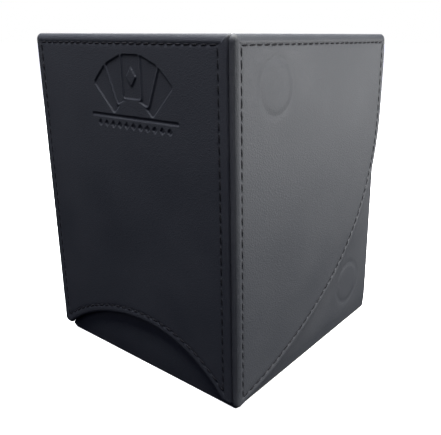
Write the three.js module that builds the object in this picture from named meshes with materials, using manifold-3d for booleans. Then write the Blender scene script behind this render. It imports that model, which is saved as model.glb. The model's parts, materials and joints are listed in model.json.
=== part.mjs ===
// A leatherette deck box for trading cards: a board-stiffened card tub and a slip lid that pulls straight up.
// Millimetres, +Z up. X runs across the front, Y from the front (-) to the back (+).
// The origin is the middle of the footprint, on the surface that the box stands on.
import * as THREE from "three";
import { mergeVertices } from "three/addons/utils/BufferGeometryUtils.js";
import Module from "manifold-3d";

const wasm = await Module();
wasm.setup();

// Driving dimensions: the closed box
const WIDTH = 80; // lid, across the front
const HEIGHT = 102; // table to the top of the lid
const LID_DEPTH = 80; // front face to the free rear edges of the lid's sides
const BACK_STEP = 1; // how far the tub's back stands behind those edges
const HEM = 2.4; // table to the lowest edge of the lid's sides
const FRONT_HEM = 3; // and of its front
const LID_PLAY = 0.2; // clearance between lid and tub

// Layers: every wall is leather outside, board in the middle and microfibre inside
const LEATHER = 0.5;
const GLUE = 0.05; // glue line between layers
const LID_BOARD = 0.9;
const LID_LINING = 0.3;
const TUB_BOARD = 1.6;
const TUB_LINING = 0.4;
const LID_WALL = LEATHER + GLUE + LID_BOARD + GLUE + LID_LINING;
const BUTT = 0.1; // gap where two lid panels meet at a corner

// Lid panel outlines
const PANEL_CORNER = 1.8;
const BUTT_CORNER = 0.8; // where the top panel and the front meet the other panels
const TOE_CORNER = 1.5; // lower front corner of a side panel
const SWEEP_HIGH = 69; // the large round lower rear corner of a side panel: radius of its upper arc
const SWEEP_LOW = 116; // and of its flatter lower arc
const SWEEP_TURN = (34 * Math.PI) / 180; // slope where the two arcs meet
const ARCH = { x: 3.5, z: 17, left: 64.7, right: 41 }; // thumb arch: its top, and its radius on each side
const FOOT_CORNER = { left: 2, right: 1 }; // lower corners of the front, beside the arch
const EDGE_ROUND = 0.6; // rolled outer edge of a wrapped panel

// Lockstitch around each lid panel
const STITCH_INSET = 2.6;
const SIDE_STITCH_INSET = 3.2; // down the upright edges of the front panel
const THREAD_WIDTH = 0.5;
const THREAD_HEIGHT = 0.25;
const THREAD_PLAY = 0.05;

// Magnet discs: one in each lid side, two in each tub side
const MAGNET_RADIUS = 7;
const MAGNET_PLAY = 0.05;
const MAGNET_HIGH = { y: 17, z: 88.9 }; // from the front face, from the table
const MAGNET_LOW = { y: 65, z: 16.2 };

// Tub
const TUB_CORNER = 1.2; // upright edges
const NOTCH_HALF = 17; // thumb notch in the front wall: half its width
const NOTCH_FLOOR = 72; // table to the bottom of the notch
const NOTCH_FLARE = 3; // rounding where the notch meets the rim

// Facets
const FACET = 0.06; // how far a flat facet may cut across the curve that it stands for
const MIN_RADIUS = 0.2; // a tighter corner is left sharp
const DISC_SIDES = 28;
const ROLL_STEPS = 2;

// Places worked out from the above. Depths are counted from the lid's front face.
const DEPTH = LID_DEPTH + BACK_STEP;
const GAP = LID_WALL + LID_PLAY; // lid's outer face to tub's outer face
const TUB = { half: WIDTH / 2 - GAP, front: GAP, back: DEPTH, rim: HEIGHT - GAP };
const FRONT_HALF = WIDTH / 2 - LID_WALL - BUTT; // half the width between the lid's sides
const BEHIND_FRONT = LID_WALL + BUTT; // where a panel starts that butts against the front's back
const SWEEP_DROP = SWEEP_LOW - SWEEP_HIGH; // between the centres of a side panel's two arcs
const SWEEP_X = LID_DEPTH - SWEEP_HIGH - SWEEP_DROP * Math.sin(SWEEP_TURN); // centre of the lower one
const SWEEP_Y = HEM + TOE_CORNER + Math.sqrt((SWEEP_LOW - TOE_CORNER) ** 2 - (TOE_CORNER - SWEEP_X) ** 2);
const BEYOND = 1; // how far a cutter reaches past what it cuts

// ---------- outlines: each is the panel's edge moved inwards by inset ----------

// Facets of an arc about (x, y), from one angle to another.
function arc(shape, x, y, radius, from, to) {
  const step = 2 * Math.acos(1 - FACET / Math.max(radius, 2 * FACET));
  const count = Math.max(1, Math.ceil(Math.abs(to - from) / step));
  for (let i = 0; i <= count; i++) {
    const angle = from + ((to - from) * i) / count;
    shape.lineTo(x + radius * Math.cos(angle), y + radius * Math.sin(angle));
  }
}

// A convex corner of radius r at (x, y), whose arc starts at angle from and turns a quarter.
function corner(shape, x, y, r, inset, from) {
  const sx = Math.sign(Math.cos(from + Math.PI / 4));
  const sy = Math.sign(Math.sin(from + Math.PI / 4));
  if (r - inset > MIN_RADIUS) {
    arc(shape, x - sx * r, y - sy * r, r - inset, from, from + Math.PI / 2);
  } else {
    shape.lineTo(x - sx * inset, y - sy * inset);
  }
}

function roundedRect(x0, y0, x1, y1, r, inset = 0) {
  const s = new THREE.Shape();
  s.moveTo((x0 + x1) / 2, y0 + inset);
  corner(s, x1, y0, r, inset, -Math.PI / 2);
  corner(s, x1, y1, r, inset, 0);
  corner(s, x0, y1, r, inset, Math.PI / 2);
  corner(s, x0, y0, r, inset, Math.PI);
  s.closePath();
  return s;
}

// Lid side panel from depth start backwards, drawn with the depth as x and the height as y.
function sideOutline(start, inset) {
  const s = new THREE.Shape();
  const toe = Math.max(TOE_CORNER - inset, MIN_RADIUS);
  const x = start + inset + toe;
  const y = SWEEP_Y - Math.sqrt((SWEEP_LOW - inset - toe) ** 2 - (x - SWEEP_X) ** 2);
  const lean = Math.atan2(y - SWEEP_Y, x - SWEEP_X);
  const turn = SWEEP_TURN - Math.PI / 2;
  const highY = SWEEP_Y - SWEEP_DROP * Math.cos(SWEEP_TURN);
  s.moveTo(start + inset, HEIGHT / 2);
  arc(s, x, y, toe, Math.PI, 2 * Math.PI + lean);
  arc(s, SWEEP_X, SWEEP_Y, SWEEP_LOW - inset, lean, turn);
  arc(s, LID_DEPTH - SWEEP_HIGH, highY, SWEEP_HIGH - inset, turn, 0);
  corner(s, LID_DEPTH, HEIGHT, PANEL_CORNER, inset, 0);
  corner(s, start, HEIGHT, PANEL_CORNER, inset, Math.PI / 2);
  s.closePath();
  return s;
}

// Where an arc of the arch ends: at the front's lower edge, or at an upright edge if it meets that first.
function archEnd(edge, radius, inset) {
  const reach = radius + inset;
  const foot = Math.asin((FRONT_HEM + inset - (ARCH.z - radius)) / reach);
  const upright = Math.acos(Math.min(1, Math.abs(edge - ARCH.x) / reach));
  return { lean: Math.max(foot, upright), footed: foot > upright };
}

// Lid front panel: it laps the left side and butts against the right one. Its lower edge is the thumb arch.
function frontOutline(inset, sideInset = inset) {
  const s = new THREE.Shape();
  const left = sideInset - WIDTH / 2;
  const right = FRONT_HALF - sideInset;
  const onLeft = archEnd(left, ARCH.left, inset);
  const onRight = archEnd(right, ARCH.right, inset);
  s.moveTo(0, HEIGHT - inset);
  corner(s, left - inset, HEIGHT, PANEL_CORNER, inset, Math.PI / 2);
  if (onLeft.footed) corner(s, left - inset, FRONT_HEM, FOOT_CORNER.left, inset, Math.PI);
  arc(s, ARCH.x, ARCH.z - ARCH.left, ARCH.left + inset, Math.PI - onLeft.lean, Math.PI / 2);
  arc(s, ARCH.x, ARCH.z - ARCH.right, ARCH.right + inset, Math.PI / 2, onRight.lean);
  if (onRight.footed) corner(s, right + inset, FRONT_HEM, FOOT_CORNER.right, inset, -Math.PI / 2);
  corner(s, right + inset, HEIGHT, BUTT_CORNER, inset, 0);
  s.closePath();
  return s;
}

const topOutline = (inset) =>
  roundedRect(-FRONT_HALF, BEHIND_FRONT, FRONT_HALF, LID_DEPTH, BUTT_CORNER, inset);

const tubOutline = (inset) => roundedRect(-TUB.half, TUB.front, TUB.half, TUB.back, TUB_CORNER, inset);

// The thumb notch in the tub's front wall, open at the top and widened all round by grow.
function notchOutline(grow) {
  const s = new THREE.Shape();
  const flareX = NOTCH_HALF + NOTCH_FLARE;
  const flareZ = TUB.rim - NOTCH_FLARE;
  s.moveTo(-flareX, TUB.rim + BEYOND);
  arc(s, -flareX, flareZ, NOTCH_FLARE - grow, Math.PI / 2, 0);
  arc(s, 0, NOTCH_FLOOR + NOTCH_HALF, NOTCH_HALF + grow, Math.PI, 2 * Math.PI);
  arc(s, flareX, flareZ, NOTCH_FLARE - grow, Math.PI, Math.PI / 2);
  s.lineTo(flareX, TUB.rim + BEYOND);
  s.closePath();
  return s;
}

// ---------- solids ----------

function solidOf(geometry) {
  geometry.deleteAttribute("normal");
  geometry.deleteAttribute("uv");
  const merged = mergeVertices(geometry, 1e-4);
  return new wasm.Manifold(
    new wasm.Mesh({
      numProp: 3,
      vertProperties: merged.attributes.position.array,
      triVerts: new Uint32Array(merged.index.array),
    }),
  );
}

// A shape stood up between two heights.
function slab(shape, from, to) {
  const g = new THREE.ExtrudeGeometry(shape, { depth: to - from, bevelEnabled: false });
  return solidOf(g.translate(0, 0, from));
}

// A slab on z = 0 whose upper edge is rolled over.
function rolledSlab(shape, height) {
  const rolled = new THREE.ExtrudeGeometry(shape, {
    depth: height - 2 * EDGE_ROUND,
    bevelThickness: EDGE_ROUND,
    bevelSize: EDGE_ROUND,
    bevelOffset: -EDGE_ROUND,
    bevelSegments: ROLL_STEPS,
  });
  return solidOf(rolled.translate(0, 0, EDGE_ROUND)).add(slab(shape, 0, height - EDGE_ROUND));
}

function block([x0, x1], [y0, y1], [z0, z1]) {
  const g = new THREE.BoxGeometry(x1 - x0, y1 - y0, z1 - z0);
  return solidOf(g.translate((x0 + x1) / 2, (y0 + y1) / 2, (z0 + z1) / 2));
}

// A disc about the z axis between two heights.
function disc(radius, from, to) {
  const g = new THREE.CylinderGeometry(radius, radius, to - from, DISC_SIDES);
  return solidOf(g.rotateX(Math.PI / 2).translate(0, 0, (from + to) / 2));
}

function place(parent, name, solid, finish) {
  const { vertProperties, triVerts } = solid.getMesh();
  const indexed = new THREE.BufferGeometry();
  indexed.setAttribute("position", new THREE.BufferAttribute(vertProperties, 3));
  indexed.setIndex(new THREE.BufferAttribute(triVerts, 1));
  const faceted = indexed.toNonIndexed();
  faceted.computeVertexNormals();
  const mesh = new THREE.Mesh(faceted, finish);
  mesh.name = name;
  parent.add(mesh);
}

// ---------- materials ----------

const material = (color, roughness, metalness = 0) =>
  new THREE.MeshStandardMaterial({ color, roughness, metalness });
const leather = material(0x2e3136, 0.55);
const board = material(0x9a958c, 0.9);
const lining = material(0x3b3d41, 0.95);
const thread = material(0x101114, 0.7);
const steel = material(0xb9bcc0, 0.3, 1);

const box = new THREE.Group();
const lid = new THREE.Group();
const tub = new THREE.Group();
box.add(lid, tub);
box.position.y = -DEPTH / 2;

// ---------- lid: four sewn panels ----------

// The band that a seam runs in, from z = from to z = to, reach to each side of the seam line.
function seamBand(seam, reach, from, to) {
  const ring = seam(-reach);
  ring.holes.push(seam(reach));
  return slab(ring, from, to);
}

// One panel: a leather skin turned over a board, a lining under it and a seam near its edge.
// It lies in its own frame, with its lining at z = 0 and its leather face at z = LID_WALL.
function sewnPanel(name, frame, outline, seam, magnet) {
  const boardFrom = LID_LINING + GLUE;
  const boardTo = boardFrom + LID_BOARD;
  const core = outline(LEATHER + GLUE);
  const bed = LID_WALL - THREAD_HEIGHT;
  const groove = seamBand(seam, THREAD_WIDTH / 2 + THREAD_PLAY, bed - THREAD_PLAY, LID_WALL + BEYOND);
  const skin = rolledSlab(outline(0), LID_WALL)
    .subtract(slab(outline(LEATHER), -BEYOND, LID_WALL - LEATHER))
    .subtract(groove);
  let stiffener = slab(core, boardFrom, boardTo);
  if (magnet) {
    const pocket = disc(MAGNET_RADIUS + MAGNET_PLAY, 0, LID_WALL);
    stiffener = stiffener.subtract(pocket.translate([magnet.y, magnet.z, 0]));
    const held = disc(MAGNET_RADIUS, boardFrom + GLUE, boardTo - GLUE);
    place(frame, `lid_${name}_magnet`, held.translate([magnet.y, magnet.z, 0]), steel);
  }
  place(frame, `lid_${name}_leather`, skin, leather);
  place(frame, `lid_${name}_board`, stiffener, board);
  place(frame, `lid_${name}_lining`, slab(core, 0, LID_LINING), lining);
  place(frame, `lid_${name}_thread`, seamBand(seam, THREAD_WIDTH / 2, bed, LID_WALL), thread);
}

// A frame at (x, y, z) whose own axes point along the given directions of the lid.
function panelFrame(x, y, z, ...directions) {
  const frame = new THREE.Group();
  frame.matrixAutoUpdate = false;
  frame.matrix.makeBasis(...directions.map((d) => new THREE.Vector3(...d))).setPosition(x, y, z);
  lid.add(frame);
  return frame;
}

const ACROSS = [1, 0, 0];
const BACKWARDS = [0, 1, 0];
const UP = [0, 0, 1];
const frontSeam = (d) => frontOutline(STITCH_INSET + d, SIDE_STITCH_INSET + d);
const topSeam = (d) => topOutline(STITCH_INSET + d);
const rightOutline = (d) => sideOutline(0, d);
const leftOutline = (d) => sideOutline(BEHIND_FRONT, d);
const rightSeam = (d) => rightOutline(STITCH_INSET + d);
const leftSeam = (d) => leftOutline(STITCH_INSET + d);

const frontFrame = panelFrame(0, LID_WALL, 0, ACROSS, UP, [0, -1, 0]);
const topFrame = panelFrame(0, 0, HEIGHT - LID_WALL, ACROSS, BACKWARDS, UP);
const rightFrame = panelFrame(WIDTH / 2 - LID_WALL, 0, 0, BACKWARDS, UP, ACROSS);
const leftFrame = panelFrame(LID_WALL - WIDTH / 2, 0, 0, BACKWARDS, UP, [-1, 0, 0]); // a mirror image
sewnPanel("front", frontFrame, frontOutline, frontSeam);
sewnPanel("top", topFrame, topOutline, topSeam);
sewnPanel("right", rightFrame, rightOutline, rightSeam, MAGNET_HIGH);
sewnPanel("left", leftFrame, leftOutline, leftSeam, MAGNET_HIGH);

// ---------- tub: leather over five boards, with a lining on each ----------

// How deep each layer starts, inwards from the tub's outer faces and up from the table.
const BOARD_AT = LEATHER + GLUE;
const LINING_AT = BOARD_AT + TUB_BOARD + GLUE;
const WELL_AT = LINING_AT + TUB_LINING;

const wellX = [WELL_AT - TUB.half, TUB.half - WELL_AT];
const wellY = [TUB.front + WELL_AT, TUB.back - WELL_AT];
const withinBoardsX = [LINING_AT - TUB.half, TUB.half - LINING_AT];
const withinBoardsY = [TUB.front + LINING_AT, TUB.back - LINING_AT];
const boardZ = [BOARD_AT, TUB.rim - BOARD_AT];
const liningZ = [WELL_AT + GLUE, TUB.rim - BOARD_AT];

// The notch as a cutter that runs through the front wall.
function notchCutter(grow) {
  const through = slab(notchOutline(grow), -BEYOND, WELL_AT + BEYOND);
  return through.rotate([90, 0, 0]).translate([0, TUB.front + WELL_AT, 0]);
}

// A sleeve round the four walls, turned in over the rim and through the notch.
function tubSleeve() {
  const well = roundedRect(wellX[0], wellY[0], wellX[1], wellY[1], TUB_CORNER / 2);
  const notchLength = [-NOTCH_HALF - NOTCH_FLARE, NOTCH_HALF + NOTCH_FLARE];
  const frontWall = block(notchLength, [TUB.front, wellY[0]], [NOTCH_FLOOR - BEYOND, TUB.rim]);
  return slab(tubOutline(0), 0, TUB.rim)
    .subtract(slab(tubOutline(LEATHER), -BEYOND, TUB.rim - LEATHER))
    .subtract(slab(well, 0, TUB.rim + BEYOND))
    .add(notchCutter(LEATHER).intersect(frontWall))
    .subtract(notchCutter(0));
}

function placeBase() {
  const boards = block(withinBoardsX, withinBoardsY, [BOARD_AT, BOARD_AT + TUB_BOARD]);
  place(tub, "tub_base_leather", slab(tubOutline(BOARD_AT), 0, LEATHER), leather);
  place(tub, "tub_base_board", boards, board);
  place(tub, "tub_base_lining", block(withinBoardsX, withinBoardsY, [LINING_AT, WELL_AT]), lining);
}

// The front or back wall, between the side walls. The layers run inwards from y = face.
function placeCrossWall(name, face, inwards, cutter) {
  const depth = (from, to) => [face + inwards * from, face + inwards * to].sort((a, b) => a - b);
  const liningX = [wellX[0] + GLUE, wellX[1] - GLUE];
  let stiffener = block(withinBoardsX, depth(BOARD_AT, BOARD_AT + TUB_BOARD), boardZ);
  let facing = block(liningX, depth(LINING_AT, WELL_AT), liningZ);
  if (cutter) {
    stiffener = stiffener.subtract(cutter);
    facing = facing.subtract(cutter);
  }
  place(tub, `tub_${name}_board`, stiffener, board);
  place(tub, `tub_${name}_lining`, facing, lining);
}

// A side wall, which runs the full depth and holds two magnets. side is -1 on the left, 1 on the right.
function placeSideWall(name, side) {
  const across = (from, to) => [side * (TUB.half - from), side * (TUB.half - to)].sort((a, b) => a - b);
  const button = ({ y, z }, radius, play) => {
    const [x0, x1] = across(BOARD_AT + play, BOARD_AT + TUB_BOARD - play);
    return disc(radius, x0, x1).rotate([0, 90, 0]).translate([0, y, z]);
  };
  const corners = slab(tubOutline(BOARD_AT), ...boardZ);
  const upright = block(across(BOARD_AT, BOARD_AT + TUB_BOARD), [TUB.front, TUB.back], boardZ);
  let stiffener = upright.intersect(corners);
  for (const [level, spot] of [["upper", MAGNET_HIGH], ["lower", MAGNET_LOW]]) {
    stiffener = stiffener.subtract(button(spot, MAGNET_RADIUS + MAGNET_PLAY, -GLUE));
    place(tub, `tub_${name}_${level}_magnet`, button(spot, MAGNET_RADIUS, GLUE), steel);
  }
  place(tub, `tub_${name}_board`, stiffener, board);
  place(tub, `tub_${name}_lining`, block(across(LINING_AT, WELL_AT), withinBoardsY, liningZ), lining);
}

place(tub, "tub_outer_leather", tubSleeve(), leather);
placeBase();
placeCrossWall("front", TUB.front, 1, notchCutter(BOARD_AT));
placeCrossWall("back", TUB.back, -1);
placeSideWall("left", -1);
placeSideWall("right", 1);

export default box;
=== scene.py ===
"""A leatherette deck box for trading cards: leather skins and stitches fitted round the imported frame."""
import json
import math

import bmesh
import bpy
import numpy as np
from mathutils import Matrix, Vector, kdtree, noise
from mathutils.geometry import delaunay_2d_cdt


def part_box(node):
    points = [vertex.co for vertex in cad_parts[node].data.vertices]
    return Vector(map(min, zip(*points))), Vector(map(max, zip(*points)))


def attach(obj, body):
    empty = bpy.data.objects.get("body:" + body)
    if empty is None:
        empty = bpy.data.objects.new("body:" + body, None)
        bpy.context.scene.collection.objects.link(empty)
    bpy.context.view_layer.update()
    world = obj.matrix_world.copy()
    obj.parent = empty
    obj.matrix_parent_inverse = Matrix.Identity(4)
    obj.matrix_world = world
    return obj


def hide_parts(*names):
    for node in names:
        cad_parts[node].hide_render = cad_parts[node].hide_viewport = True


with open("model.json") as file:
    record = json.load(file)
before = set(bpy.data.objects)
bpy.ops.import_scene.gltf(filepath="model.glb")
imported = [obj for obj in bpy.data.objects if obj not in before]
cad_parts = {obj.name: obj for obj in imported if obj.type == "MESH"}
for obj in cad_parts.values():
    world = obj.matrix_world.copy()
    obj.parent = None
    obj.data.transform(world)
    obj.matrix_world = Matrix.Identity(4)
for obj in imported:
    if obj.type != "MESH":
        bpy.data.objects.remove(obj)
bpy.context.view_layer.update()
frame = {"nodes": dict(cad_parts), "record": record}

# ---------- sizes, in millimetres ----------

MM = 0.001


def extent(node):
    """A CAD node's lowest and highest corners in millimetres."""
    low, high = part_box(node)
    return np.array(low) / MM, np.array(high) / MM


def centre(node):
    """A CAD node's middle on a side wall: its depth behind the lid's front, and its height."""
    _, y, z = np.mean(extent(node), axis=0)
    return round(y - FRONT_Y, 3), round(z, 3)


# From the frame
front_low, front_high = extent("lid_front_leather")
side_low, side_high = extent("lid_right_leather")
top_low, top_high = extent("lid_top_leather")
tub_low, tub_high = extent("tub_outer_leather")
FRONT_Y = side_low[1]  # panels count their depth from here
HEIGHT = side_high[2]
HALF = side_high[0]
HEM = side_low[2]
FRONT_HEM = front_low[2]
LID_DEPTH = side_high[1] - FRONT_Y
LID_WALL = side_high[0] - side_low[0]
FRONT_LEFT = front_low[0]
FRONT_RIGHT = front_high[0]
BEHIND_FRONT = top_low[1] - FRONT_Y  # the top and the left side butt against the front's back
TUB_HALF = tub_high[0]
TUB_FRONT = tub_low[1]
TUB_BACK = tub_high[1]
RIM = tub_high[2]
TUB_WALL = TUB_HALF - extent("tub_right_lining")[0][0]
MAGNET_HIGH = centre("lid_right_magnet")
MAGNET_LOW = centre("tub_right_lower_magnet")

# Outlines of the panels, as the frame has them
LEATHER = 0.5
PANEL_CORNER = 1.8
BUTT_CORNER = 0.8  # where the top panel and the front meet the other panels
TOE_CORNER = 1.5
SWEEP_HIGH = 69.0  # radius of the upper arc of a side panel's lower rear corner
SWEEP_LOW = 116.0  # and of the flatter lower one
SWEEP_TURN = math.radians(34)  # slope where they meet
ARCH_X = 3.5  # the thumb arch's top
ARCH_Z = 17.0
ARCH_LEFT = 64.7  # its radius on each side
ARCH_RIGHT = 41.0
FOOT_CORNER_LEFT = 2.0
FOOT_CORNER_RIGHT = 1.0
TUB_CORNER = 1.2
NOTCH_HALF = 17.0
NOTCH_FLOOR = 72.0
NOTCH_FLARE = 3.0
SHEET_CORNER = 0.3
BUTT_GAP = 0.06  # where the ends of the tub's wrap meet at the back
BASE_INSET = TUB_WALL + 0.3
BASE_CORNER = 2.0
BASE_PROFILE = (  # the base sheet's inset and height, from its upper face down
    (0.3, LEATHER),
    (0.06, LEATHER - 0.06),
    (0.0, LEATHER / 2),
    (0.06, 0.06),
    (0.3, 0.0),
)

# Seams
STITCH_INSET = 2.6
SIDE_STITCH_INSET = 3.2
STITCH_PITCH = 2.9
SEWN_SHARP = 1.0  # a corner of less radius than this is sewn as a point
THREAD_RADIUS = 0.27
THREAD_TAPER = 0.62  # of the radius, where the thread dips into a hole
THREAD_FLATNESS = 0.8  # height over width
THREAD_DIP = 0.32  # the thread's centre below the face at a hole
THREAD_RISE = 0.24  # and how far it climbs from there
THREAD_SLANT = 0.16  # sideways from end to end of a stitch
HOLE_MARGIN = 0.06  # of a stitch, left free at each end

# Turned edges. A roll is how far it reaches in and how deep it drops
TURNED_EDGE = (  # inset, height above the inside of the wall and edge mask (rubbed wear, and at 1 edge ink with painted shade), from inside to out
    (LEATHER, 0.1, 0.0),
    (0.8 * LEATHER, 0.0, 0.2),
    (0.16, 0.0, 0.5),
    (0.05, 0.05, 1.0),
    (0.0, 0.16, 1.0),
)
WEAR_EDGE, WEAR_CREST = 0.8, 0.06  # at the outer edge of a roll and at its crest
SWEEP_ROLL = (1.1, 0.95)
SIDE_TOP_ROLL = (2.2, 1.3)
SIDE_FRONT_ROLL = (2.3, 1.5)
LEFT_FRONT_ROLL = (0.6, 0.6)
ARCH_ROLL = (0.9, 0.8)
FRONT_TOP_ROLL = (2.2, 1.4)
FRONT_RIGHT_ROLL = (0.8, 1.5)
FRONT_LEFT_ROLL = (1.6, 1.3)
TOP_ROLL = (0.6, 0.6)
TOP_REAR_ROLL = (1.5, 1.1)
RIM_ROLL = (0.8, 0.8)
FOOT_ROLL = (1.2, 1.1)
BUTT_ROLL = (0.25, 0.25)
LID_BAND, WRAP_BAND = 0.6, 0.5  # a point this near an edge belongs to it
TOP_BAND = 1.0  # and to the front panel's top
END_BAND = 3.0  # near its ends an upright edge takes the roll of the edge it meets

# Relief. A pair is a height and a width or wavelength
LID_WAVES = ((0.05, 23.0), (0.02, 7.0))
LID_SEED_STEP = 5  # from the seed of a panel's first swell to that of its second
TUB_WAVES = ((0.06, 27.0), (0.02, 8.0))
TUB_SEEDS = (11.0, 14.0)
PADDING = (0.05, 0.9)  # the bead round a panel
PADDING_INSET = 1.3
CHANNEL = ((0.07, 0.45), (0.03, 1.0))  # that the seam lies in
HOLE = (0.12, 0.32)
MAGNET_RING = 7.3  # radius of the ring over a magnet
MAGNET_GROOVE = (0.10, 1.0)
MAGNET_DOME = (0.03, 1.5)
FOOT_DRAW = (0.4, 4.0)  # how the tub's foot draws in
TOE_FOLD = 1.7  # how far the wrap's gathered leather stands out under the lid's left toe
FOLD_START, FOLD_END = (0.2, 1.2), (3.0, 9.0)  # where it rises and sinks, behind the tub's corner
FOLD_TOP = (1.3, HEM - 0.2)  # the heights between which it dies away
TOP_SINK = 0.18  # how far the top panel's face lies below the edges of the panels round it

# The mark pressed into the front: a fan of blank cards, a rule and a row of lozenges
EMBLEM_CENTRE = (3.8, 86.8)
EMBLEM_DEPTH = 0.34
CARD = (7.6, 12.2, 1.0)  # width, height and corner radius of a pressed card
FAN_RADIUS = 13.5  # from the fan's pivot to the middle of a card
FAN_TILTS = (-44, 44, -22, 22, 0)  # degrees, from the rearmost card to the foremost
FAN_LIFT = -9.6  # the pivot's height from the emblem's centre
CARD_GAP = 0.28  # half the width of the ridge left standing round a card
PIP = (1.3, 2.6)  # slimness and half height of the lozenge on the foremost card
RULE = (-7.2, 17.5, 0.36)  # height, half length and half thickness
LOZENGES = (-9.6, 2.85, 5, 0.95)  # height, pitch, how many to each side, half size
CARD_SLOPE, PIP_SLOPE = (-0.1, 0.1), (-0.15, 0.15)  # how far each edge's slope reaches out and in
RULE_SLOPE, LOZENGE_SLOPE = (-0.1, 0.12), (-0.12, 0.16)

# Mesh steps
LOOP_PITCH = 0.38  # along an outline
INSET_STEP = 0.1  # between the insets that an outline is worked out at
ROLL_STEPS = 6
WIDEST_TURN = math.pi / 2 * 0.98  # of a roll that ends before the first ring
RING_CLEARANCE = 0.1  # kept between a wider roll's last loop and the first ring
EASE_STEPS = 12  # loop points that a change of roll is smoothed over, each way
THREAD_SIDES, THREAD_STEPS = 8, 9
SEAM_LINE_STEP = 0.15
SEAM_DEEPEST = 4.8  # inset to which rings follow a lid panel's outline
SEAM_RINGS = np.arange(1.7, SEAM_DEEPEST - 0.1, 0.2)
LID_STEP, LID_MARGIN = 1.6, 0.2  # a margin is what a grid keeps from the loop round it
LID_CAVITY_STEP, LID_CAVITY_MARGIN = 12.0, 1.0
EMBLEM_REACH, EMBLEM_STEP = (19.0, 11.5), 0.22
LID_MAGNET_REACH, LID_MAGNET_STEP = (10.0, 10.0), 0.5
WRAP_DEEPEST = 2.4
WRAP_RINGS = np.array([1.6, 2.0])
WRAP_STEP, WRAP_MARGIN = 1.8, 0.25
WRAP_CAVITY_STEP, WRAP_CAVITY_MARGIN = 6.0, 0.6
CORNER_STEP = 0.35  # between columns where the wrap bends
BASE_PITCH = 1.0
LOOP_REPEAT = 1e-4  # points of a loop nearer than this are one point
MERGE_DISTANCE, CLOSED_UP = 1e-6, 1e-7  # metres, in the finished meshes
TUB_MAGNET_REACH, TUB_MAGNET_STEP = (9.5, 9.5), 0.6


# ---------- outlines: arcs (centre x, y, radius, from, to), joined by straight edges ----------


def corner(x, y, radius, inset, start):
    """The arc of a right-angled corner at (x, y) at this inset."""
    reach = max(radius, inset)
    middle = start + math.pi / 4
    cx = x - math.copysign(reach, math.cos(middle))
    cy = y - math.copysign(reach, math.sin(middle))
    return cx, cy, max(radius - inset, 0.0), start, start + math.pi / 2


def rectangle(x0, y0, x1, y1, radius, inset):
    return [
        corner(x1, y0, radius, inset, -math.pi / 2),
        corner(x1, y1, radius, inset, 0.0),
        corner(x0, y1, radius, inset, math.pi / 2),
        corner(x0, y0, radius, inset, math.pi),
    ]


SWEEP_DROP = SWEEP_LOW - SWEEP_HIGH
SWEEP_X = LID_DEPTH - SWEEP_HIGH - SWEEP_DROP * math.sin(SWEEP_TURN)
SWEEP_Y = HEM + TOE_CORNER + math.sqrt((SWEEP_LOW - TOE_CORNER) ** 2 - (TOE_CORNER - SWEEP_X) ** 2)


def side_arcs(start, inset):
    """A side panel from this depth backwards, with the large sweep at its lower rear corner."""
    toe = max(TOE_CORNER, inset)
    x = start + toe
    y = SWEEP_Y - math.sqrt((SWEEP_LOW - toe) ** 2 - (x - SWEEP_X) ** 2)
    lean = math.atan2(y - SWEEP_Y, x - SWEEP_X)
    turn = SWEEP_TURN - math.pi / 2
    high_y = SWEEP_Y - SWEEP_DROP * math.cos(SWEEP_TURN)
    return [
        (SWEEP_X, SWEEP_Y, SWEEP_LOW - inset, lean, turn),
        (LID_DEPTH - SWEEP_HIGH, high_y, SWEEP_HIGH - inset, turn, 0.0),
        corner(LID_DEPTH, HEIGHT, PANEL_CORNER, inset, 0.0),
        corner(start, HEIGHT, PANEL_CORNER, inset, math.pi / 2),
        (x, y, toe - inset, math.pi, 2 * math.pi + lean),
    ]


def right_arcs(inset):
    return side_arcs(0.0, inset)


def left_arcs(inset):
    return side_arcs(BEHIND_FRONT, inset)


def arch_foot(edge, radius, rounding, inset, start):
    """Beside an arc of the arch: the front's lower corner, and the lean at which the arc ends.

    Deep insets leave no foot there, so the arc runs on to the upright edge and the corner is a point.
    """
    reach = radius + inset
    lean = math.asin((FRONT_HEM + inset - (ARCH_Z - radius)) / reach)
    upright = math.acos(min(1.0, abs(edge - ARCH_X) / reach))
    if lean > upright:
        return corner(edge + math.copysign(inset, edge), FRONT_HEM, rounding, inset, start), lean
    return (edge, ARCH_Z - radius + reach * math.sin(upright), 0.0, start, start + math.pi / 2), upright


def front_arcs(inset, side_inset=None):
    """The front panel, with the thumb arch for its lower edge."""
    side_inset = inset if side_inset is None else side_inset
    left, right = FRONT_LEFT + side_inset, FRONT_RIGHT - side_inset
    left_foot, left_lean = arch_foot(left, ARCH_LEFT, FOOT_CORNER_LEFT, inset, math.pi)
    right_foot, right_lean = arch_foot(right, ARCH_RIGHT, FOOT_CORNER_RIGHT, inset, -math.pi / 2)
    return [
        left_foot,
        (ARCH_X, ARCH_Z - ARCH_LEFT, ARCH_LEFT + inset, math.pi - left_lean, math.pi / 2),
        (ARCH_X, ARCH_Z - ARCH_RIGHT, ARCH_RIGHT + inset, math.pi / 2, right_lean),
        right_foot,
        corner(right + inset, HEIGHT, BUTT_CORNER, inset, 0.0),
        corner(left - inset, HEIGHT, PANEL_CORNER, inset, math.pi / 2),
    ]


def top_arcs(inset):
    return rectangle(-FRONT_RIGHT, BEHIND_FRONT, FRONT_RIGHT, LID_DEPTH, BUTT_CORNER, inset)


STRAIGHT_X = 2 * (TUB_HALF - TUB_CORNER)
STRAIGHT_Y = TUB_BACK - TUB_FRONT - 2 * TUB_CORNER
QUARTER = TUB_CORNER * math.pi / 2
GIRTH = 2 * (STRAIGHT_X + STRAIGHT_Y) + 4 * QUARTER
SIDE_START = STRAIGHT_X / 2 + QUARTER - TUB_CORNER  # girth at a side's front corner
WRAP_MAGNETS = [
    (hand, (SIDE_START + depth + FRONT_Y - TUB_FRONT, level))
    for hand in (-1, 1)
    for depth, level in (MAGNET_LOW, MAGNET_HIGH)
]


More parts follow.
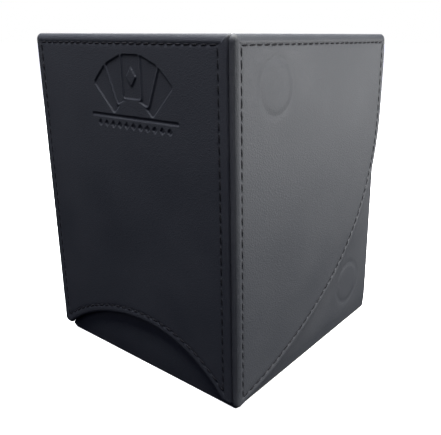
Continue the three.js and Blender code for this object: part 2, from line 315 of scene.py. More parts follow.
def wrap_arcs(inset):
    """The tub's leather laid flat, with the thumb notch.

    The girth runs along x from the middle of the front, and the height along y.
    """
    end = (GIRTH - BUTT_GAP) / 2
    flare_x = NOTCH_HALF + NOTCH_FLARE
    flare_z = RIM - NOTCH_FLARE
    flare = NOTCH_FLARE - inset
    return [
        corner(end, 0.0, SHEET_CORNER, inset, -math.pi / 2),
        corner(end, RIM, SHEET_CORNER, inset, 0.0),
        (flare_x, flare_z, flare, math.pi / 2, math.pi),
        (0.0, NOTCH_FLOOR + NOTCH_HALF, NOTCH_HALF + inset, 0.0, -math.pi),
        (-flare_x, flare_z, flare, 0.0, math.pi / 2),
        corner(-end, RIM, SHEET_CORNER, inset, math.pi / 2),
        corner(-end, 0.0, SHEET_CORNER, inset, math.pi),
    ]


class Outline:
    """An outline sampled with the same number of points at every inset, so that its loops join up."""

    def __init__(self, arcs_at, deepest, pitch=LOOP_PITCH):
        flat = arcs_at(0.0)
        self.arc_steps = [max(4, round(abs(b - a) * r / pitch)) for _, _, r, a, b in flat]
        self.edge_steps = [
            max(1, round(math.dist(self.point(arc, 1), self.point(following, 0)) / pitch))
            for arc, following in zip(flat, flat[1:] + flat[:1])
        ]
        count = round(deepest / INSET_STEP) + 1
        self.loops = np.array([self.loop(arcs_at(i * INSET_STEP)) for i in range(count)])

    @staticmethod
    def point(arc, end):
        x, y, r, a, b = arc
        angle = b if end else a
        return x + r * math.cos(angle), y + r * math.sin(angle)

    def loop(self, arcs):
        runs = []
        for i, (x, y, r, a, b) in enumerate(arcs):
            angle = np.linspace(a, b, self.arc_steps[i] + 1)
            runs.append(np.c_[x + r * np.cos(angle), y + r * np.sin(angle)])
            start = self.point(arcs[(i + 1) % len(arcs)], 0)
            runs.append(np.linspace(runs[-1][-1], start, self.edge_steps[i] + 1)[1:-1])
        return np.vstack(runs)

    def at(self, inset):
        """The loop at an inset, which may differ from point to point."""
        where = np.broadcast_to(np.asarray(inset, float) / INSET_STEP, (self.loops.shape[1],))
        below = np.clip(where.astype(int), 0, len(self.loops) - 2)
        part = (where - below)[:, None]
        index = np.arange(self.loops.shape[1])
        return self.loops[below, index] * (1 - part) + self.loops[below + 1, index] * part


# ---------- small mathematics ----------


def distance_to(targets, points):
    """How far each point is from the nearest target."""
    tree = kdtree.KDTree(len(targets))
    for i, (x, y) in enumerate(targets):
        tree.insert((x, y, 0.0), i)
    tree.balance()
    return np.array([tree.find((x, y, 0.0))[2] for x, y in points])


def swell(points, wavelength, seed):
    """Smooth noise from about -1 to 1 over the panel."""
    return np.array([noise.noise(Vector((x / wavelength, y / wavelength, seed))) for x, y in points])


def bell(distance, width):
    return np.exp(-((distance / width) ** 2))


def pressed(distance, groove):
    """How deep a groove (depth, width) is at this distance from its middle."""
    depth, width = groove
    return depth * bell(distance, width)


def waves(points, sizes, seeds):
    """Swells added up: one for each pair of height and wavelength, and its seed."""
    return sum(height * swell(points, length, seed) for (height, length), seed in zip(sizes, seeds))


def smooth_step(value, low, high):
    t = np.clip((value - low) / (high - low), 0.0, 1.0)
    return t * t * (3 - 2 * t)


def unique_run(loop):
    """The loop's points without repeats where a corner has closed up."""
    step = np.linalg.norm(loop - np.roll(loop, 1, axis=0), axis=1)
    return np.flatnonzero(step > LOOP_REPEAT)


# ---------- meshes ----------


def new_piece(name, body, material, points, faces, edge_wear_and_shade=None):
    """A smooth mesh in metres that rides on a body."""
    mesh = bpy.data.meshes.new(name)
    mesh.from_pydata((np.asarray(points) * MM).tolist(), [], faces)
    if edge_wear_and_shade is not None:
        attribute = mesh.attributes.new("edge_wear_and_shade", "FLOAT", "POINT")
        attribute.data.foreach_set("value", np.asarray(edge_wear_and_shade, np.float32))
    mesh.materials.append(material)
    mesh.shade_smooth()
    piece = bpy.data.objects.new(name, mesh)
    bpy.context.scene.collection.objects.link(piece)
    tidy_mesh(mesh)
    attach(piece, body)
    return piece


def tidy_mesh(mesh):
    """Merges points that fell together and drops faces that closed up."""
    work = bmesh.new()
    work.from_mesh(mesh)
    bmesh.ops.remove_doubles(work, verts=work.verts, dist=MERGE_DISTANCE)
    bmesh.ops.dissolve_degenerate(work, edges=work.edges, dist=CLOSED_UP)
    work.to_mesh(mesh)
    work.free()


def fill(loop, inner):
    """Triangles between a loop and the points inside it, numbered loop first. Anticlockwise."""
    points = np.vstack([loop, inner])
    out = delaunay_2d_cdt([Vector(p) for p in points], [], [list(range(len(loop)))], 1, 1e-6, True)
    source = np.array([ids[0] for ids in out[3]])
    faces = source[np.array(out[2])]
    return faces[within(loop, points[faces].mean(1))].tolist()


def within(loop, points):
    """Which points lie inside the loop."""
    x, y = points[:, 0], points[:, 1]
    inside_it = np.zeros(len(points), bool)
    for (x0, y0), (x1, y1) in zip(loop, np.roll(loop, -1, axis=0)):
        if y0 != y1:
            crosses = (y0 > y) != (y1 > y)
            inside_it ^= crosses & (x < (x1 - x0) * (y - y0) / (y1 - y0) + x0)
    return inside_it


def eased(values):
    """Values round a loop with their jumps smoothed out."""
    kernel = np.hanning(2 * EASE_STEPS + 1)
    around = np.r_[values[-EASE_STEPS:], values, values[:EASE_STEPS]]
    return np.convolve(around, kernel / kernel.sum(), "valid")


def skin(outline, wall, edge_roll, rings, inner, relief, cavity_points):
    """A leather skin with its edges rolled round a board.

    edge_roll gives, for points on the outline, how far in the roll reaches and how deep it drops.
    Returns points (x, y, height), faces and the edge mask of wear and painted shade. Heights run from 0
    inside the wall to wall on its face.
    """
    count = outline.loops.shape[1]
    reach, drop = (eased(values) for values in edge_roll(outline.at(0.0)))

    def ring(inset, height, edge_wear_and_shade):
        flat = outline.at(inset)
        return np.c_[flat, np.broadcast_to(height, count)], np.broadcast_to(edge_wear_and_shade, count)

    stack = [ring(LEATHER, wall - LEATHER, 0.0)] + [ring(*edge) for edge in TURNED_EDGE]
    first = rings[0] - RING_CLEARANCE
    last_turn = np.where(reach > first, np.arccos(np.clip(1 - first / reach, -1, 1)), WIDEST_TURN)
    for part in np.linspace(0, 1, ROLL_STEPS):
        turn = last_turn * part
        inset = reach * (1 - np.cos(turn))
        lift = relief(outline.at(inset), inset) * np.sin(turn) ** 2
        edge_wear_and_shade = WEAR_EDGE + (WEAR_CREST - WEAR_EDGE) * part
        stack.append(ring(inset, wall - drop * (1 - np.sin(turn)) + lift, edge_wear_and_shade))
    for inset in ((inset + rings[0]) / 2, *rings):
        into = np.clip(1 - inset / reach, 0, 1)
        height = wall - drop * (1 - np.sqrt(1 - into**2))
        stack.append(ring(inset, height + relief(outline.at(inset), inset), 0.0))

    faces = []
    index = np.arange(count)
    following = np.roll(index, -1)
    for level in range(len(stack) - 1):
        low, high = level * count, (level + 1) * count
        faces += np.c_[low + index, low + following, high + following, high + index].tolist()

    points, edge_wear_and_shade = (list(parts) for parts in zip(*stack))
    last = (len(stack) - 1) * count
    faces += filled(outline.at(rings[-1]), last, inner, len(stack) * count)
    points.append(np.c_[inner, wall + relief(inner, rings[-1])])
    edge_wear_and_shade.append(np.zeros(len(inner)))
    start = len(stack) * count + len(inner)
    floor = filled(outline.at(LEATHER), 0, cavity_points, start)
    faces += [face[::-1] for face in floor]
    points.append(np.c_[cavity_points, np.full(len(cavity_points), wall - LEATHER)])
    edge_wear_and_shade.append(np.zeros(len(cavity_points)))
    return np.vstack(points), faces, np.concatenate(edge_wear_and_shade)


def filled(loop, loop_start, inner, inner_start):
    """Faces of a filled loop, as indices into the whole mesh."""
    kept = unique_run(loop)
    numbers = np.r_[loop_start + kept, inner_start + np.arange(len(inner))]
    return [[int(numbers[v]) for v in face] for face in fill(loop[kept], inner)]


def inside(outline, inset, points, margin):
    """The points that lie within the outline at this inset, at least margin from it."""
    loop = outline.at(inset)
    chosen = points[within(loop, points)]
    return chosen[distance_to(loop, chosen) > margin]


def grid(x0, y0, x1, y1, step):
    """Points in staggered rows, which triangulate evenly."""
    rows = np.arange(y0, y1, step)
    columns = np.arange(x0, x1, step)
    return np.array([(x + (step / 2 if r % 2 else 0.0), y) for r, y in enumerate(rows) for x in columns])


def patched(coarse, patches):
    """Coarse points with finer grids in place of them inside each patch (x0, y0, x1, y1, step)."""
    for x0, y0, x1, y1, step in patches:
        x, y = coarse[:, 0], coarse[:, 1]
        outside = (x < x0) | (x > x1) | (y < y0) | (y > y1)
        coarse = np.vstack([coarse[outside], grid(x0, y0, x1, y1, step)])
    return coarse


# ---------- seams ----------


def seam_runs(arcs, pitch=0.1):
    """A seam's polyline, cut into runs at its sharp corners."""
    runs, current = [], []
    for x, y, r, a, b in arcs:
        angle = np.linspace(a, b, max(2, round(abs(b - a) * r / pitch)))
        curve = np.c_[x + r * np.cos(angle), y + r * np.sin(angle)]
        if r < SEWN_SHARP:
            point = curve[len(curve) // 2]
            current.append(point[None])
            runs.append(np.vstack(current))
            current = [point[None]]
        else:
            current.append(curve)
    runs[0] = np.vstack(current + [runs[0]])
    return runs


def evenly(run, pitch):
    """Points along a run, both ends included, about pitch apart."""
    travelled = np.r_[0, np.cumsum(np.linalg.norm(np.diff(run, axis=0), axis=1))]
    stops = np.linspace(0, travelled[-1], max(1, round(travelled[-1] / pitch)) + 1)
    return np.c_[np.interp(stops, travelled, run[:, 0]), np.interp(stops, travelled, run[:, 1])]


class Seam:
    """A row of lockstitches: its line and its needle holes."""

    def __init__(self, arcs):
        runs = seam_runs(arcs)
        self.spans = [evenly(run, STITCH_PITCH) for run in runs]
        self.line = np.vstack([evenly(run, SEAM_LINE_STEP) for run in runs])
        self.holes = np.vstack(self.spans)


def stitches(seam, top):
    """Thread between each pair of holes: out of one, over the leather and down into the next."""
    points, faces = [], []
    for span in seam.spans:
        for start, end in zip(span[:-1], span[1:]):
            along = (end - start) / np.linalg.norm(end - start)
            across = np.array([-along[1], along[0]])
            first = len(points)
            for t in np.linspace(0, 1, THREAD_STEPS):
                reach = HOLE_MARGIN + (1 - 2 * HOLE_MARGIN) * t
                middle = start + (end - start) * reach + across * THREAD_SLANT * (t - 0.5)
                arch = math.sin(math.pi * t) ** 0.6
                height = top - THREAD_DIP + THREAD_RISE * arch
                size = THREAD_RADIUS * (THREAD_TAPER + (1 - THREAD_TAPER) * arch)
                for turn in np.arange(THREAD_SIDES) * 2 * math.pi / THREAD_SIDES:
                    x, y = middle + across * size * math.cos(turn)
                    points.append((x, y, height + THREAD_FLATNESS * size * math.sin(turn)))
            faces += tube_faces(first, THREAD_SIDES, THREAD_STEPS)
    return np.array(points), faces


def tube_faces(first, sides, steps):
    """The wall and both ends of a tube whose points are numbered round each section, from first on."""
    faces = []
    for s in range(steps - 1):
        for k in range(sides):
            a = first + s * sides + k
            b = first + s * sides + (k + 1) % sides
            faces.append([a, b, b + sides, a + sides])
    last = first + (steps - 1) * sides
    faces.append([first + k for k in reversed(range(sides))])
    faces.append([last + k for k in range(sides)])
    return faces


# ---------- placing flat and wrapped leather in the model ----------


def flat_place(origin, across, up, out):
    """A function from panel points to the model, and whether it mirrors them."""
    basis = np.array([across, up, out], float)

    def place(points):
        return np.asarray(origin) + np.asarray(points) @ basis

    return place, np.linalg.det(basis) < 0


def wrap_place(points):
    """Bends the flat sheet round the tub, starting from the middle of the front."""
    s, z, height = np.asarray(points, float).T
    depth = TUB_WALL - height
    half_y = (TUB_BACK - TUB_FRONT) / 2
    middle_y = (TUB_BACK + TUB_FRONT) / 2
    reach = np.maximum(TUB_CORNER, depth)
    radius = np.maximum(TUB_CORNER - depth, 0.0)
    place = np.empty((len(s), 3))
    place[:, 2] = z
    # walk from the middle of the front towards +x, mirroring for negative s
    hand = np.where(s < 0, -1.0, 1.0)
    run = np.abs(s)
    a = STRAIGHT_X / 2
    b = a + QUARTER
    c = b + STRAIGHT_Y
    d = c + QUARTER
    centre_x = TUB_HALF - reach
    centre_y = half_y - reach
    x = np.minimum(run, centre_x)
    y = -half_y + depth
    turn = (run - a) / TUB_CORNER
    on = (run > a) & (run <= b)
    x = np.where(on, centre_x + radius * np.sin(turn), x)
    y = np.where(on, -centre_y - radius * np.cos(turn), y)
    on = (run > b) & (run <= c)
    x = np.where(on, TUB_HALF - depth, x)
    y = np.where(on, np.clip(run - b - STRAIGHT_Y / 2, -centre_y, centre_y), y)
    turn = (run - c) / TUB_CORNER
    on = (run > c) & (run <= d)
    x = np.where(on, centre_x + radius * np.cos(turn), x)
    y = np.where(on, centre_y + radius * np.sin(turn), y)
    on = run > d
    x = np.where(on, np.minimum(a - (run - d), centre_x), x)
    y = np.where(on, half_y - depth, y)
    place[:, 0] = x * hand
    place[:, 1] = y + middle_y
    return place


# ---------- relief: what the leather's face does besides being flat ----------


def card_distance(x, y, tilt):
    """Signed distance to the edge of a card in the fan."""
    width, height, radius = CARD
    c, s = math.cos(tilt), math.sin(tilt)
    y = y - FAN_LIFT
    u = c * x - s * y
    v = s * x + c * y - FAN_RADIUS
    qx = np.abs(u) - width / 2 + radius
    qy = np.abs(v) - height / 2 + radius
    return np.hypot(np.maximum(qx, 0), np.maximum(qy, 0)) + np.minimum(np.maximum(qx, qy), 0) - radius


def emblem(x, y):
    """How far the leather is pressed, 0 to 1: a fan of blank cards over a rule and a row of lozenges."""
    x, y = x - EMBLEM_CENTRE[0], y - EMBLEM_CENTRE[1]
    mark = np.zeros(len(x))
    for tilt in FAN_TILTS:
        edge = card_distance(x, y, math.radians(tilt))
        mark = np.minimum(mark, smooth_step(edge - CARD_GAP, *CARD_SLOPE))
        mark = np.maximum(mark, smooth_step(-edge - CARD_GAP, *CARD_SLOPE))
    slimness, half_height = PIP
    pip = np.abs(x) * slimness + np.abs(y - FAN_LIFT - FAN_RADIUS) - half_height
    mark = np.minimum(mark, smooth_step(pip, *PIP_SLOPE))
    level, reach, thickness = RULE
    rule = np.maximum(np.abs(x) - reach, np.abs(y - level) - thickness)
    mark = np.maximum(mark, smooth_step(-rule, *RULE_SLOPE))
    level, pitch, count, size = LOZENGES
    nearest = np.clip(np.round(x / pitch), -count, count) * pitch
    lozenge = np.abs(x - nearest) + np.abs(y - level) - size
    return np.maximum(mark, smooth_step(-lozenge, *LOZENGE_SLOPE))


def magnet_print(x, y, spot):
    """The ring that a magnet's edge presses into the leather over it, and the slight dome inside."""
    inwards = MAGNET_RING - np.hypot(x - spot[0], y - spot[1])
    dome, slope = MAGNET_DOME
    return dome * smooth_step(inwards, 0.0, slope) - pressed(inwards, MAGNET_GROOVE)


def sewn_relief(seam, seed, extra, sink):
    """A sewn panel's face: a padded border, the seam's channel and holes, slow waves and any print."""

    def relief(points, inset):
        gap = distance_to(seam.line, points)
        lift = waves(points, LID_WAVES, (seed, seed + LID_SEED_STEP)) - sink
        lift += pressed(inset - PADDING_INSET, PADDING) - sum(pressed(gap, groove) for groove in CHANNEL)
        lift -= pressed(distance_to(seam.holes, points), HOLE)
        if extra is not None:
            lift += extra(points[:, 0], points[:, 1])
        return lift

    return relief


def wrap_relief(points, inset):
    """The tub's glued leather: waves, a foot that draws in, the magnets' rings and the left toe's fold."""
    x, y = points[:, 0], points[:, 1]
    lift = waves(points, TUB_WAVES, TUB_SEEDS) - pressed(y, FOOT_DRAW)
    past_corner = -x - SIDE_START
    fold = smooth_step(past_corner, *FOLD_START) * (1 - smooth_step(past_corner, *FOLD_END))
    lift += TOE_FOLD * fold * (1 - smooth_step(y, *FOLD_TOP))
    for hand, spot in WRAP_MAGNETS:
        lift += magnet_print(x * hand, y, spot)
    return lift


# ---------- materials ----------


def shader(name):
    """A node material, its tree and its Principled shader."""
    material = bpy.data.materials.new(name)
    material.use_nodes = True
    tree = material.node_tree
    return material, tree, tree.nodes["Principled BSDF"]


def add(tree, kind, **values):
    """A new node, with its settings and the defaults of its sockets."""
    node = tree.nodes.new(kind)
    for key, value in values.items():
        if key in node.inputs:
            node.inputs[key].default_value = value
        else:
            setattr(node, key, value)
    return node


def ramp(tree, source, *stops):
    """A colour ramp over a value. Each stop is (position, colour)."""
    node = tree.nodes.new("ShaderNodeValToRGB")
    elements = node.color_ramp.elements
    while len(elements) < len(stops):
        elements.new(0.5)
    for element, (position, colour) in zip(elements, stops):
        element.position = position
        element.color = (*colour, 1.0)
    tree.links.new(source, node.inputs["Fac"])
    return node.outputs["Color"]


def grey(value):
    return (value, value, value)


def leather_material():
    """Black coated leather: pebbled grain, faint clouds, rolls rubbed a little paler, inked cut edges whose
    near-black is partly edge paint and partly painted shade in the grooves between panels and under the lid's
    edges.
    """
    material, tree, skin_shader = shader("black_leather")
    links = tree.links
    place = add(tree, "ShaderNodeTexCoord").outputs["Object"]

    cloud = add(tree, "ShaderNodeTexNoise", Scale=55.0, Detail=4.0)
    links.new(place, cloud.inputs["Vector"])
    tone = ramp(tree, cloud.outputs["Fac"], (0.3, (0.024, 0.0265, 0.033)), (0.7, (0.031, 0.0335, 0.040)))

    edge_wear_and_shade = add(tree, "ShaderNodeAttribute", attribute_name="edge_wear_and_shade")
    rubbed = add(tree, "ShaderNodeMix", data_type="RGBA")
    rubbed.inputs["B"].default_value = (0.055, 0.057, 0.062, 1.0)
    scuff = add(tree, "ShaderNodeMath", operation="MULTIPLY")
    scuff_noise = add(tree, "ShaderNodeTexNoise", Scale=420.0, Detail=3.0)
    links.new(place, scuff_noise.inputs["Vector"])
    links.new(edge_wear_and_shade.outputs["Fac"], scuff.inputs[0])
    links.new(scuff_noise.outputs["Fac"], scuff.inputs[1])
    links.new(scuff.outputs[0], rubbed.inputs["Factor"])
    links.new(tone, rubbed.inputs["A"])
    # Edge faces, where the mask is near 1, go near black: edge ink, and also painted shade for the grooves
    # between panels and the recesses under the lid's edges
    ink_and_shade_mix = add(tree, "ShaderNodeMix", data_type="RGBA")
    ink_and_shade_mix.inputs["B"].default_value = (0.005, 0.005, 0.007, 1.0)
    edge_ink_and_shade = ramp(tree, edge_wear_and_shade.outputs["Fac"], (0.84, grey(0.0)), (0.98, grey(1.0)))
    links.new(edge_ink_and_shade, ink_and_shade_mix.inputs["Factor"])
    links.new(rubbed.outputs["Result"], ink_and_shade_mix.inputs["A"])
    links.new(ink_and_shade_mix.outputs["Result"], skin_shader.inputs["Base Color"])

    gloss = ramp(tree, cloud.outputs["Fac"], (0.25, grey(0.5)), (0.75, grey(0.6)))
    links.new(gloss, skin_shader.inputs["Roughness"])
    skin_shader.inputs["Specular IOR Level"].default_value = 0.35
    links.new(grain_bump(tree, place), skin_shader.inputs["Normal"])
    return material


def grain_bump(tree, place):
    """The normal of pebbled grain: small cells with creases between them, and finer tooth on top."""
    links = tree.links
    cells = add(tree, "ShaderNodeTexVoronoi", feature="DISTANCE_TO_EDGE", Scale=1500.0)
    warp = add(tree, "ShaderNodeTexNoise", Scale=600.0, Detail=2.0)
    mixed = add(tree, "ShaderNodeMix", data_type="VECTOR")
    mixed.inputs["Factor"].default_value = 0.0012
    links.new(place, warp.inputs["Vector"])
    links.new(place, mixed.inputs["A"])
    links.new(warp.outputs["Color"], mixed.inputs["B"])
    links.new(mixed.outputs["Result"], cells.inputs["Vector"])
    pebble = ramp(tree, cells.outputs["Distance"], (0.0, grey(0.0)), (0.28, grey(1.0)))
    coarse = add(tree, "ShaderNodeBump", Strength=0.45, Distance=0.00006)
    links.new(pebble, coarse.inputs["Height"])
    tooth = add(tree, "ShaderNodeTexNoise", Scale=5200.0, Detail=2.0)
    links.new(place, tooth.inputs["Vector"])
    fine = add(tree, "ShaderNodeBump", Strength=0.3, Distance=0.00002)
    links.new(tooth.outputs["Fac"], fine.inputs["Height"])
    links.new(coarse.outputs["Normal"], fine.inputs["Normal"])
    return fine.outputs["Normal"]


def thread_material():
    """Waxed black polyester: a twist of plies across the thread."""
    material, tree, fibre = shader("black_thread")
    place = add(tree, "ShaderNodeTexCoord").outputs["Object"]
    plies = add(tree, "ShaderNodeTexWave", Scale=900.0, Distortion=1.5, bands_direction="DIAGONAL")
    tree.links.new(place, plies.inputs["Vector"])
    tone = ramp(tree, plies.outputs["Fac"], (0.2, (0.006, 0.006, 0.008)), (0.9, (0.017, 0.017, 0.020)))
    tree.links.new(tone, fibre.inputs["Base Color"])
    bump = add(tree, "ShaderNodeBump", Strength=0.5, Distance=0.00006)
    tree.links.new(plies.outputs["Fac"], bump.inputs["Height"])
    tree.links.new(bump.outputs["Normal"], fibre.inputs["Normal"])
    fibre.inputs["Roughness"].default_value = 0.85
    fibre.inputs["Specular IOR Level"].default_value = 0.15
    return material


def lining_material():
    """Charcoal microfibre with a brushed nap."""
    material, tree, nap = shader("microfibre")
    place = add(tree, "ShaderNodeTexCoord").outputs["Object"]
    brush = add(tree, "ShaderNodeTexNoise", Scale=90.0, Detail=6.0, Roughness=0.65)
    fibre = add(tree, "ShaderNodeTexNoise", Scale=2600.0, Detail=3.0)
    for node in (brush, fibre):
        tree.links.new(place, node.inputs["Vector"])
    tone = ramp(tree, brush.outputs["Fac"], (0.3, (0.028, 0.029, 0.033)), (0.7, (0.052, 0.054, 0.060)))
    tree.links.new(tone, nap.inputs["Base Color"])
    bump = add(tree, "ShaderNodeBump", Strength=0.6, Distance=0.00012)
    tree.links.new(fibre.outputs["Fac"], bump.inputs["Height"])
    tree.links.new(bump.outputs["Normal"], nap.inputs["Normal"])
    nap.inputs["Roughness"].default_value = 0.95
    nap.inputs["Sheen Weight"].default_value = 0.35
    nap.inputs["Sheen Roughness"].default_value = 0.5
    nap.inputs["Specular IOR Level"].default_value = 0.2
    return material


def board_material():
    """Grey recycled board with flecks."""
    material, tree, pulp = shader("grey_board")
    place = add(tree, "ShaderNodeTexCoord").outputs["Object"]
    fleck = add(tree, "ShaderNodeTexNoise", Scale=1400.0, Detail=5.0)
    tree.links.new(place, fleck.inputs["Vector"])
    tone = ramp(tree, fleck.outputs["Fac"], (0.35, (0.22, 0.20, 0.17)), (0.65, (0.38, 0.35, 0.31)))
    tree.links.new(tone, pulp.inputs["Base Color"])
    pulp.inputs["Roughness"].default_value = 0.95
    return material


def magnet_material():
    """Nickel plate with fine turning marks."""
    material, tree, plate = shader("nickel_plate")
    place = add(tree, "ShaderNodeTexCoord").outputs["Object"]
    marks = add(tree, "ShaderNodeTexNoise", Scale=900.0, Detail=4.0)
    tree.links.new(place, marks.inputs["Vector"])
    dull = ramp(tree, marks.outputs["Fac"], (0.3, grey(0.22)), (0.7, grey(0.4)))
    tree.links.new(dull, plate.inputs["Roughness"])
    plate.inputs["Base Color"].default_value = (0.62, 0.61, 0.58, 1.0)
    plate.inputs["Metallic"].default_value = 1.0
    return material


LEATHER_SKIN = leather_material()
THREAD = thread_material()


def finish_cad_nodes():
    """Gives the CAD nodes that stay their materials."""
    by_slot = {"board": board_material(), "lining": lining_material(), "magnet": magnet_material()}
    for entry in frame["record"]["subparts"]:
        if entry["material_slot"] in by_slot:
            mesh = frame["nodes"][entry["node"]].data
            mesh.materials.clear()
            mesh.materials.append(by_slot[entry["material_slot"]])


# ---------- lid ----------


def sewn_panel(name, arcs, seam, placing, edge_roll, patches, extra, seed, sink=0.0):
    """A lid panel's leather and stitches. extra is a print in its face, and sink lowers all of it."""
    place, mirrored = placing
    outline = Outline(arcs, SEAM_DEEPEST)
    low, high = outline.at(0.0).min(0), outline.at(0.0).max(0)
    everywhere = patched(grid(*low, *high, LID_STEP), patches)
    inner = inside(outline, SEAM_RINGS[-1], everywhere, LID_MARGIN)
    cavity = inside(outline, LEATHER, grid(*low, *high, LID_CAVITY_STEP), LID_CAVITY_MARGIN)
    relief = sewn_relief(seam, seed, extra, sink)
    points, faces, edge_wear_and_shade = skin(outline, LID_WALL, edge_roll, SEAM_RINGS, inner, relief, cavity)
    thread_points, thread_faces = stitches(seam, LID_WALL - sink)
    if mirrored:
        faces = [face[::-1] for face in faces]
        thread_faces = [face[::-1] for face in thread_faces]
    leather = new_piece(f"lid_{name}_skin", "lid", LEATHER_SKIN, place(points), faces, edge_wear_and_shade)
    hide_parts(f"lid_{name}_leather")
    row = new_piece(f"lid_{name}_stitches", "lid", THREAD, place(thread_points), thread_faces)
    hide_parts(f"lid_{name}_thread")


def roll(usual, *special):
    """Reach and drop all round an edge: the usual pair, or a special one where its mask is true."""
    pairs = np.tile(np.array(usual, float), (len(special[0][0]), 1))
    for mask, pair in special:
        pairs[mask] = pair
    return pairs.T


def side_roll(points, front=SIDE_FRONT_ROLL):
    """A side panel: generous down the front and along the top, tighter round the sweep."""
    x, y = points.T
    up_front = (x < x.min() + LID_BAND) & (y > HEM + END_BAND)
    return roll(SWEEP_ROLL, (y > HEIGHT - END_BAND, SIDE_TOP_ROLL), (up_front, front))


def left_roll(points):
    """The left panel's front edge is tight, because it butts against the front panel."""
    return side_roll(points, LEFT_FRONT_ROLL)


def front_roll(points):
    """The front panel: full along the top and the left, tight where it meets the right side."""
    x, y = points.T
    top = y > HEIGHT - TOP_BAND
    right = (x > FRONT_RIGHT - LID_BAND) & (y < HEIGHT - END_BAND)
    left = x < FRONT_LEFT + LID_BAND
    return roll(ARCH_ROLL, (top, FRONT_TOP_ROLL), (right, FRONT_RIGHT_ROLL), (left, FRONT_LEFT_ROLL))


def top_roll(points):
    """The top panel: tight where it butts against the others, fuller at its free rear edge."""
    return roll(TOP_ROLL, (points[:, 1] > LID_DEPTH - LID_BAND, TOP_REAR_ROLL))


def emblem_print(x, y):
    return -EMBLEM_DEPTH * emblem(x, y)


def high_magnet_print(x, y):
    return magnet_print(x, y, MAGNET_HIGH)


def patch(spot, reach, step):
    """A finer patch of mesh round a spot."""
    return spot[0] - reach[0], spot[1] - reach[1], spot[0] + reach[0], spot[1] + reach[1], step


def build_lid():
    across, back, up = (1, 0, 0), (0, 1, 0), (0, 0, 1)
    emblem_patch = patch(EMBLEM_CENTRE, EMBLEM_REACH, EMBLEM_STEP)
    magnet_patch = patch(MAGNET_HIGH, LID_MAGNET_REACH, LID_MAGNET_STEP)
    front = flat_place((0, FRONT_Y + LID_WALL, 0), across, up, (0, -1, 0))
    top = flat_place((0, FRONT_Y, HEIGHT - LID_WALL), across, back, up)
    right = flat_place((HALF - LID_WALL, FRONT_Y, 0), back, up, across)
    left = flat_place((LID_WALL - HALF, FRONT_Y, 0), back, up, (-1, 0, 0))
    front_seam = Seam(front_arcs(STITCH_INSET, SIDE_STITCH_INSET))
    top_seam = Seam(top_arcs(STITCH_INSET))
    right_seam = Seam(right_arcs(STITCH_INSET))
    left_seam = Seam(left_arcs(STITCH_INSET))
    sewn_panel("front", front_arcs, front_seam, front, front_roll, [emblem_patch], emblem_print, seed=1.0)
    sewn_panel("top", top_arcs, top_seam, top, top_roll, [], None, seed=2.0, sink=TOP_SINK)
    sewn_panel("right", right_arcs, right_seam, right, side_roll, [magnet_patch], high_magnet_print, seed=3.0)
    sewn_panel("left", left_arcs, left_seam, left, left_roll, [magnet_patch], high_magnet_print, seed=4.0)


# ---------- tub ----------


def wrap_grid(step):
    """Points over the flat sheet, in columns that are closer together where it bends round a corner."""
    near = STRAIGHT_X / 2
    far = near + QUARTER + STRAIGHT_Y
    columns = list(np.arange(-GIRTH / 2, GIRTH / 2, step))
    for low in (-near - QUARTER, -far - QUARTER, near, far):
        high = low + QUARTER
        columns = [c for c in columns if not low - CORNER_STEP < c < high + CORNER_STEP]
        columns += list(np.linspace(low, high, round(QUARTER / CORNER_STEP) + 1))
    rows = np.arange(step / 2, RIM, step)
    return np.array([(c, r) for c in sorted(columns) for r in rows])


def wrap_roll(points):
    """The rim and notch are rolled, the foot a little fuller, and the butt seam at the back crisp."""
    x, y = points.T
    return roll(RIM_ROLL, (y < WRAP_BAND, FOOT_ROLL), (np.abs(x) > GIRTH / 2 - WRAP_BAND, BUTT_ROLL))


def build_tub():
    outline = Outline(wrap_arcs, WRAP_DEEPEST)
    spots = [(hand * girth, level) for hand, (girth, level) in WRAP_MAGNETS]
    patches = [patch(spot, TUB_MAGNET_REACH, TUB_MAGNET_STEP) for spot in spots]
    inner = inside(outline, WRAP_RINGS[-1], patched(wrap_grid(WRAP_STEP), patches), WRAP_MARGIN)
    cavity = inside(outline, LEATHER, wrap_grid(WRAP_CAVITY_STEP), WRAP_CAVITY_MARGIN)
    points, faces, edge_wear_and_shade = skin(outline, TUB_WALL, wrap_roll, WRAP_RINGS, inner, wrap_relief, cavity)
    wrap = new_piece("tub_wrap", "tub", LEATHER_SKIN, wrap_place(points), faces, edge_wear_and_shade)
    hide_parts("tub_outer_leather")


def base_arcs(inset):
    side = TUB_HALF - BASE_INSET
    return rectangle(-side, TUB_FRONT + BASE_INSET, side, TUB_BACK - BASE_INSET, BASE_CORNER, inset)


def build_base():
    """The leather sheet glued under the tub, inside the turned edge of the wrap."""
    outline = Outline(base_arcs, BASE_PITCH, BASE_PITCH)
    count = outline.loops.shape[1]
    points = np.vstack([np.c_[outline.at(inset), np.full(count, z)] for inset, z in BASE_PROFILE])
    index = np.arange(count)
    following = np.roll(index, -1)
    faces = []
    for level in range(len(BASE_PROFILE) - 1):
        low, high = level * count, (level + 1) * count
        faces += np.c_[low + index, high + index, high + following, low + following].tolist()
    faces.append(index.tolist())
    faces.append(((len(BASE_PROFILE) - 1) * count + index)[::-1].tolist())
    unworn = np.zeros(len(points))
    sheet = new_piece("tub_base_sheet", "tub", LEATHER_SKIN, points, faces, unworn)
    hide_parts("tub_base_leather")


# ---------- stage ----------

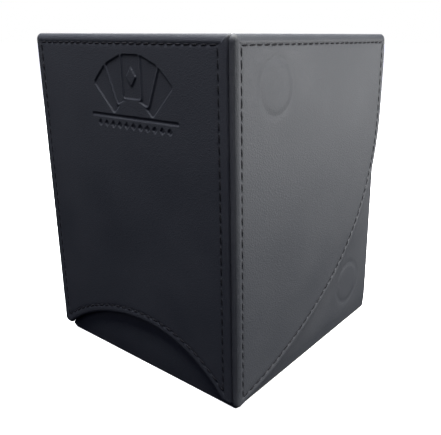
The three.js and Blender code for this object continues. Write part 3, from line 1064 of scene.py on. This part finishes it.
# Places in metres, angles in radians
CAMERA_PLACE = (0.12066, -0.13804, 0.10169)
CAMERA_AZIMUTH = 0.6518
CAMERA_TILT = 0.2870  # below the horizon
CAMERA_ROLL = 0.0028
SENSOR, FOCAL = 36.0, 44.35  # millimetres
SHIFT = (-0.0805, -0.0510)
FLOOR_REACH = 6.0
WORLD_LIGHT = (  # height from 0 straight down to 1 straight up, and the light from there
    (0.48, (0.0, 0.0, 0.0)),
    (0.75, (0.17, 0.19, 0.36)),
)
WHITE, WARM = (1.0, 1.0, 1.0), (1.0, 0.98, 0.8)
LIGHTS = (  # name, place, what it faces, width and height, watts, colour
    ("side", (0.5, 0.36, 0.07), (0.03, 0.02, 0.04), (0.4, 0.1), 4.0, WHITE),
    ("high_side", (0.3, 0.04, 0.45), (0.04, 0.0, 0.06), (0.25, 0.25), 2.3, WARM),
    ("front", (-0.4, -0.5, 0.2), (0.0, 0.0, 0.05), (0.4, 0.3), 0.35, WHITE),
    ("overhead", (0.0, 0.0, 0.6), (0.0, 0.0, 0.05), (0.6, 0.6), 14.0, WHITE),
    ("behind", (-0.45, 0.45, 0.35), (0.0, 0.0, 0.05), (0.5, 0.4), 5.0, WHITE),
)


def build_camera():
    data = bpy.data.cameras.new("camera")
    data.sensor_width = SENSOR
    data.lens = FOCAL
    data.shift_x, data.shift_y = SHIFT
    data.clip_start = 0.005
    camera = bpy.data.objects.new("camera", data)
    bpy.context.scene.collection.objects.link(camera)
    aim = Matrix.Rotation(CAMERA_AZIMUTH, 4, "Z") @ Matrix.Rotation(math.pi / 2 - CAMERA_TILT, 4, "X")
    camera.matrix_world = Matrix.Translation(CAMERA_PLACE) @ aim @ Matrix.Rotation(CAMERA_ROLL, 4, "Z")
    bpy.context.scene.camera = camera


def soft_light(name, place, target, size, power, colour):
    data = bpy.data.lights.new(name, "AREA")
    data.shape = "RECTANGLE"
    data.size, data.size_y = size
    data.energy = power
    data.color = colour
    light = bpy.data.objects.new(name, data)
    light.location = place
    light.rotation_euler = (Vector(target) - Vector(place)).to_track_quat("-Z", "Y").to_euler()
    bpy.context.scene.collection.objects.link(light)


def build_floor():
    """A glowing floor, so that it is white all round the box. It throws no light back on the leather."""
    material, tree, paint = shader("pale_floor")
    paint.inputs["Base Color"].default_value = (0.85, 0.85, 0.85, 1.0)
    paint.inputs["Roughness"].default_value = 0.9
    paint.inputs["Specular IOR Level"].default_value = 0.1
    paint.inputs["Emission Color"].default_value = (1.0, 1.0, 1.0, 1.0)
    paint.inputs["Emission Strength"].default_value = 1.0
    mesh = bpy.data.meshes.new("floor")
    r = FLOOR_REACH
    mesh.from_pydata([(-r, -r, 0), (r, -r, 0), (r, r, 0), (-r, r, 0)], [], [(0, 1, 2, 3)])
    mesh.materials.append(material)
    floor = bpy.data.objects.new("floor", mesh)
    bpy.context.scene.collection.objects.link(floor)
    floor.visible_diffuse = False
    floor.visible_glossy = False


def build_world():
    """White to the camera. As a light it is dim, brighter overhead than at the horizon and dark below."""
    world = bpy.data.worlds.new("studio")
    bpy.context.scene.world = world
    world.use_nodes = True
    tree = world.node_tree
    seen = tree.nodes["Background"]
    seen.inputs["Color"].default_value = (1.0, 1.0, 1.0, 1.0)
    light = add(tree, "ShaderNodeBackground", Strength=1.0)
    place = add(tree, "ShaderNodeTexCoord").outputs["Generated"]
    split = add(tree, "ShaderNodeSeparateXYZ")
    tree.links.new(place, split.inputs[0])
    height = add(tree, "ShaderNodeMapRange", **{"From Min": -1.0, "From Max": 1.0})
    tree.links.new(split.outputs["Z"], height.inputs["Value"])
    sky = ramp(tree, height.outputs["Result"], *WORLD_LIGHT)
    tree.links.new(sky, light.inputs["Color"])
    chosen = add(tree, "ShaderNodeMixShader")
    tree.links.new(add(tree, "ShaderNodeLightPath").outputs["Is Camera Ray"], chosen.inputs[0])
    tree.links.new(light.outputs[0], chosen.inputs[1])
    tree.links.new(seen.outputs[0], chosen.inputs[2])
    tree.links.new(chosen.outputs[0], tree.nodes["World Output"].inputs["Surface"])


def build_stage():
    build_floor()
    build_world()
    for light in LIGHTS:
        soft_light(*light)
    bpy.context.scene.view_settings.view_transform = "Standard"


finish_cad_nodes()
build_lid()
build_tub()
build_base()
build_camera()
build_stage()
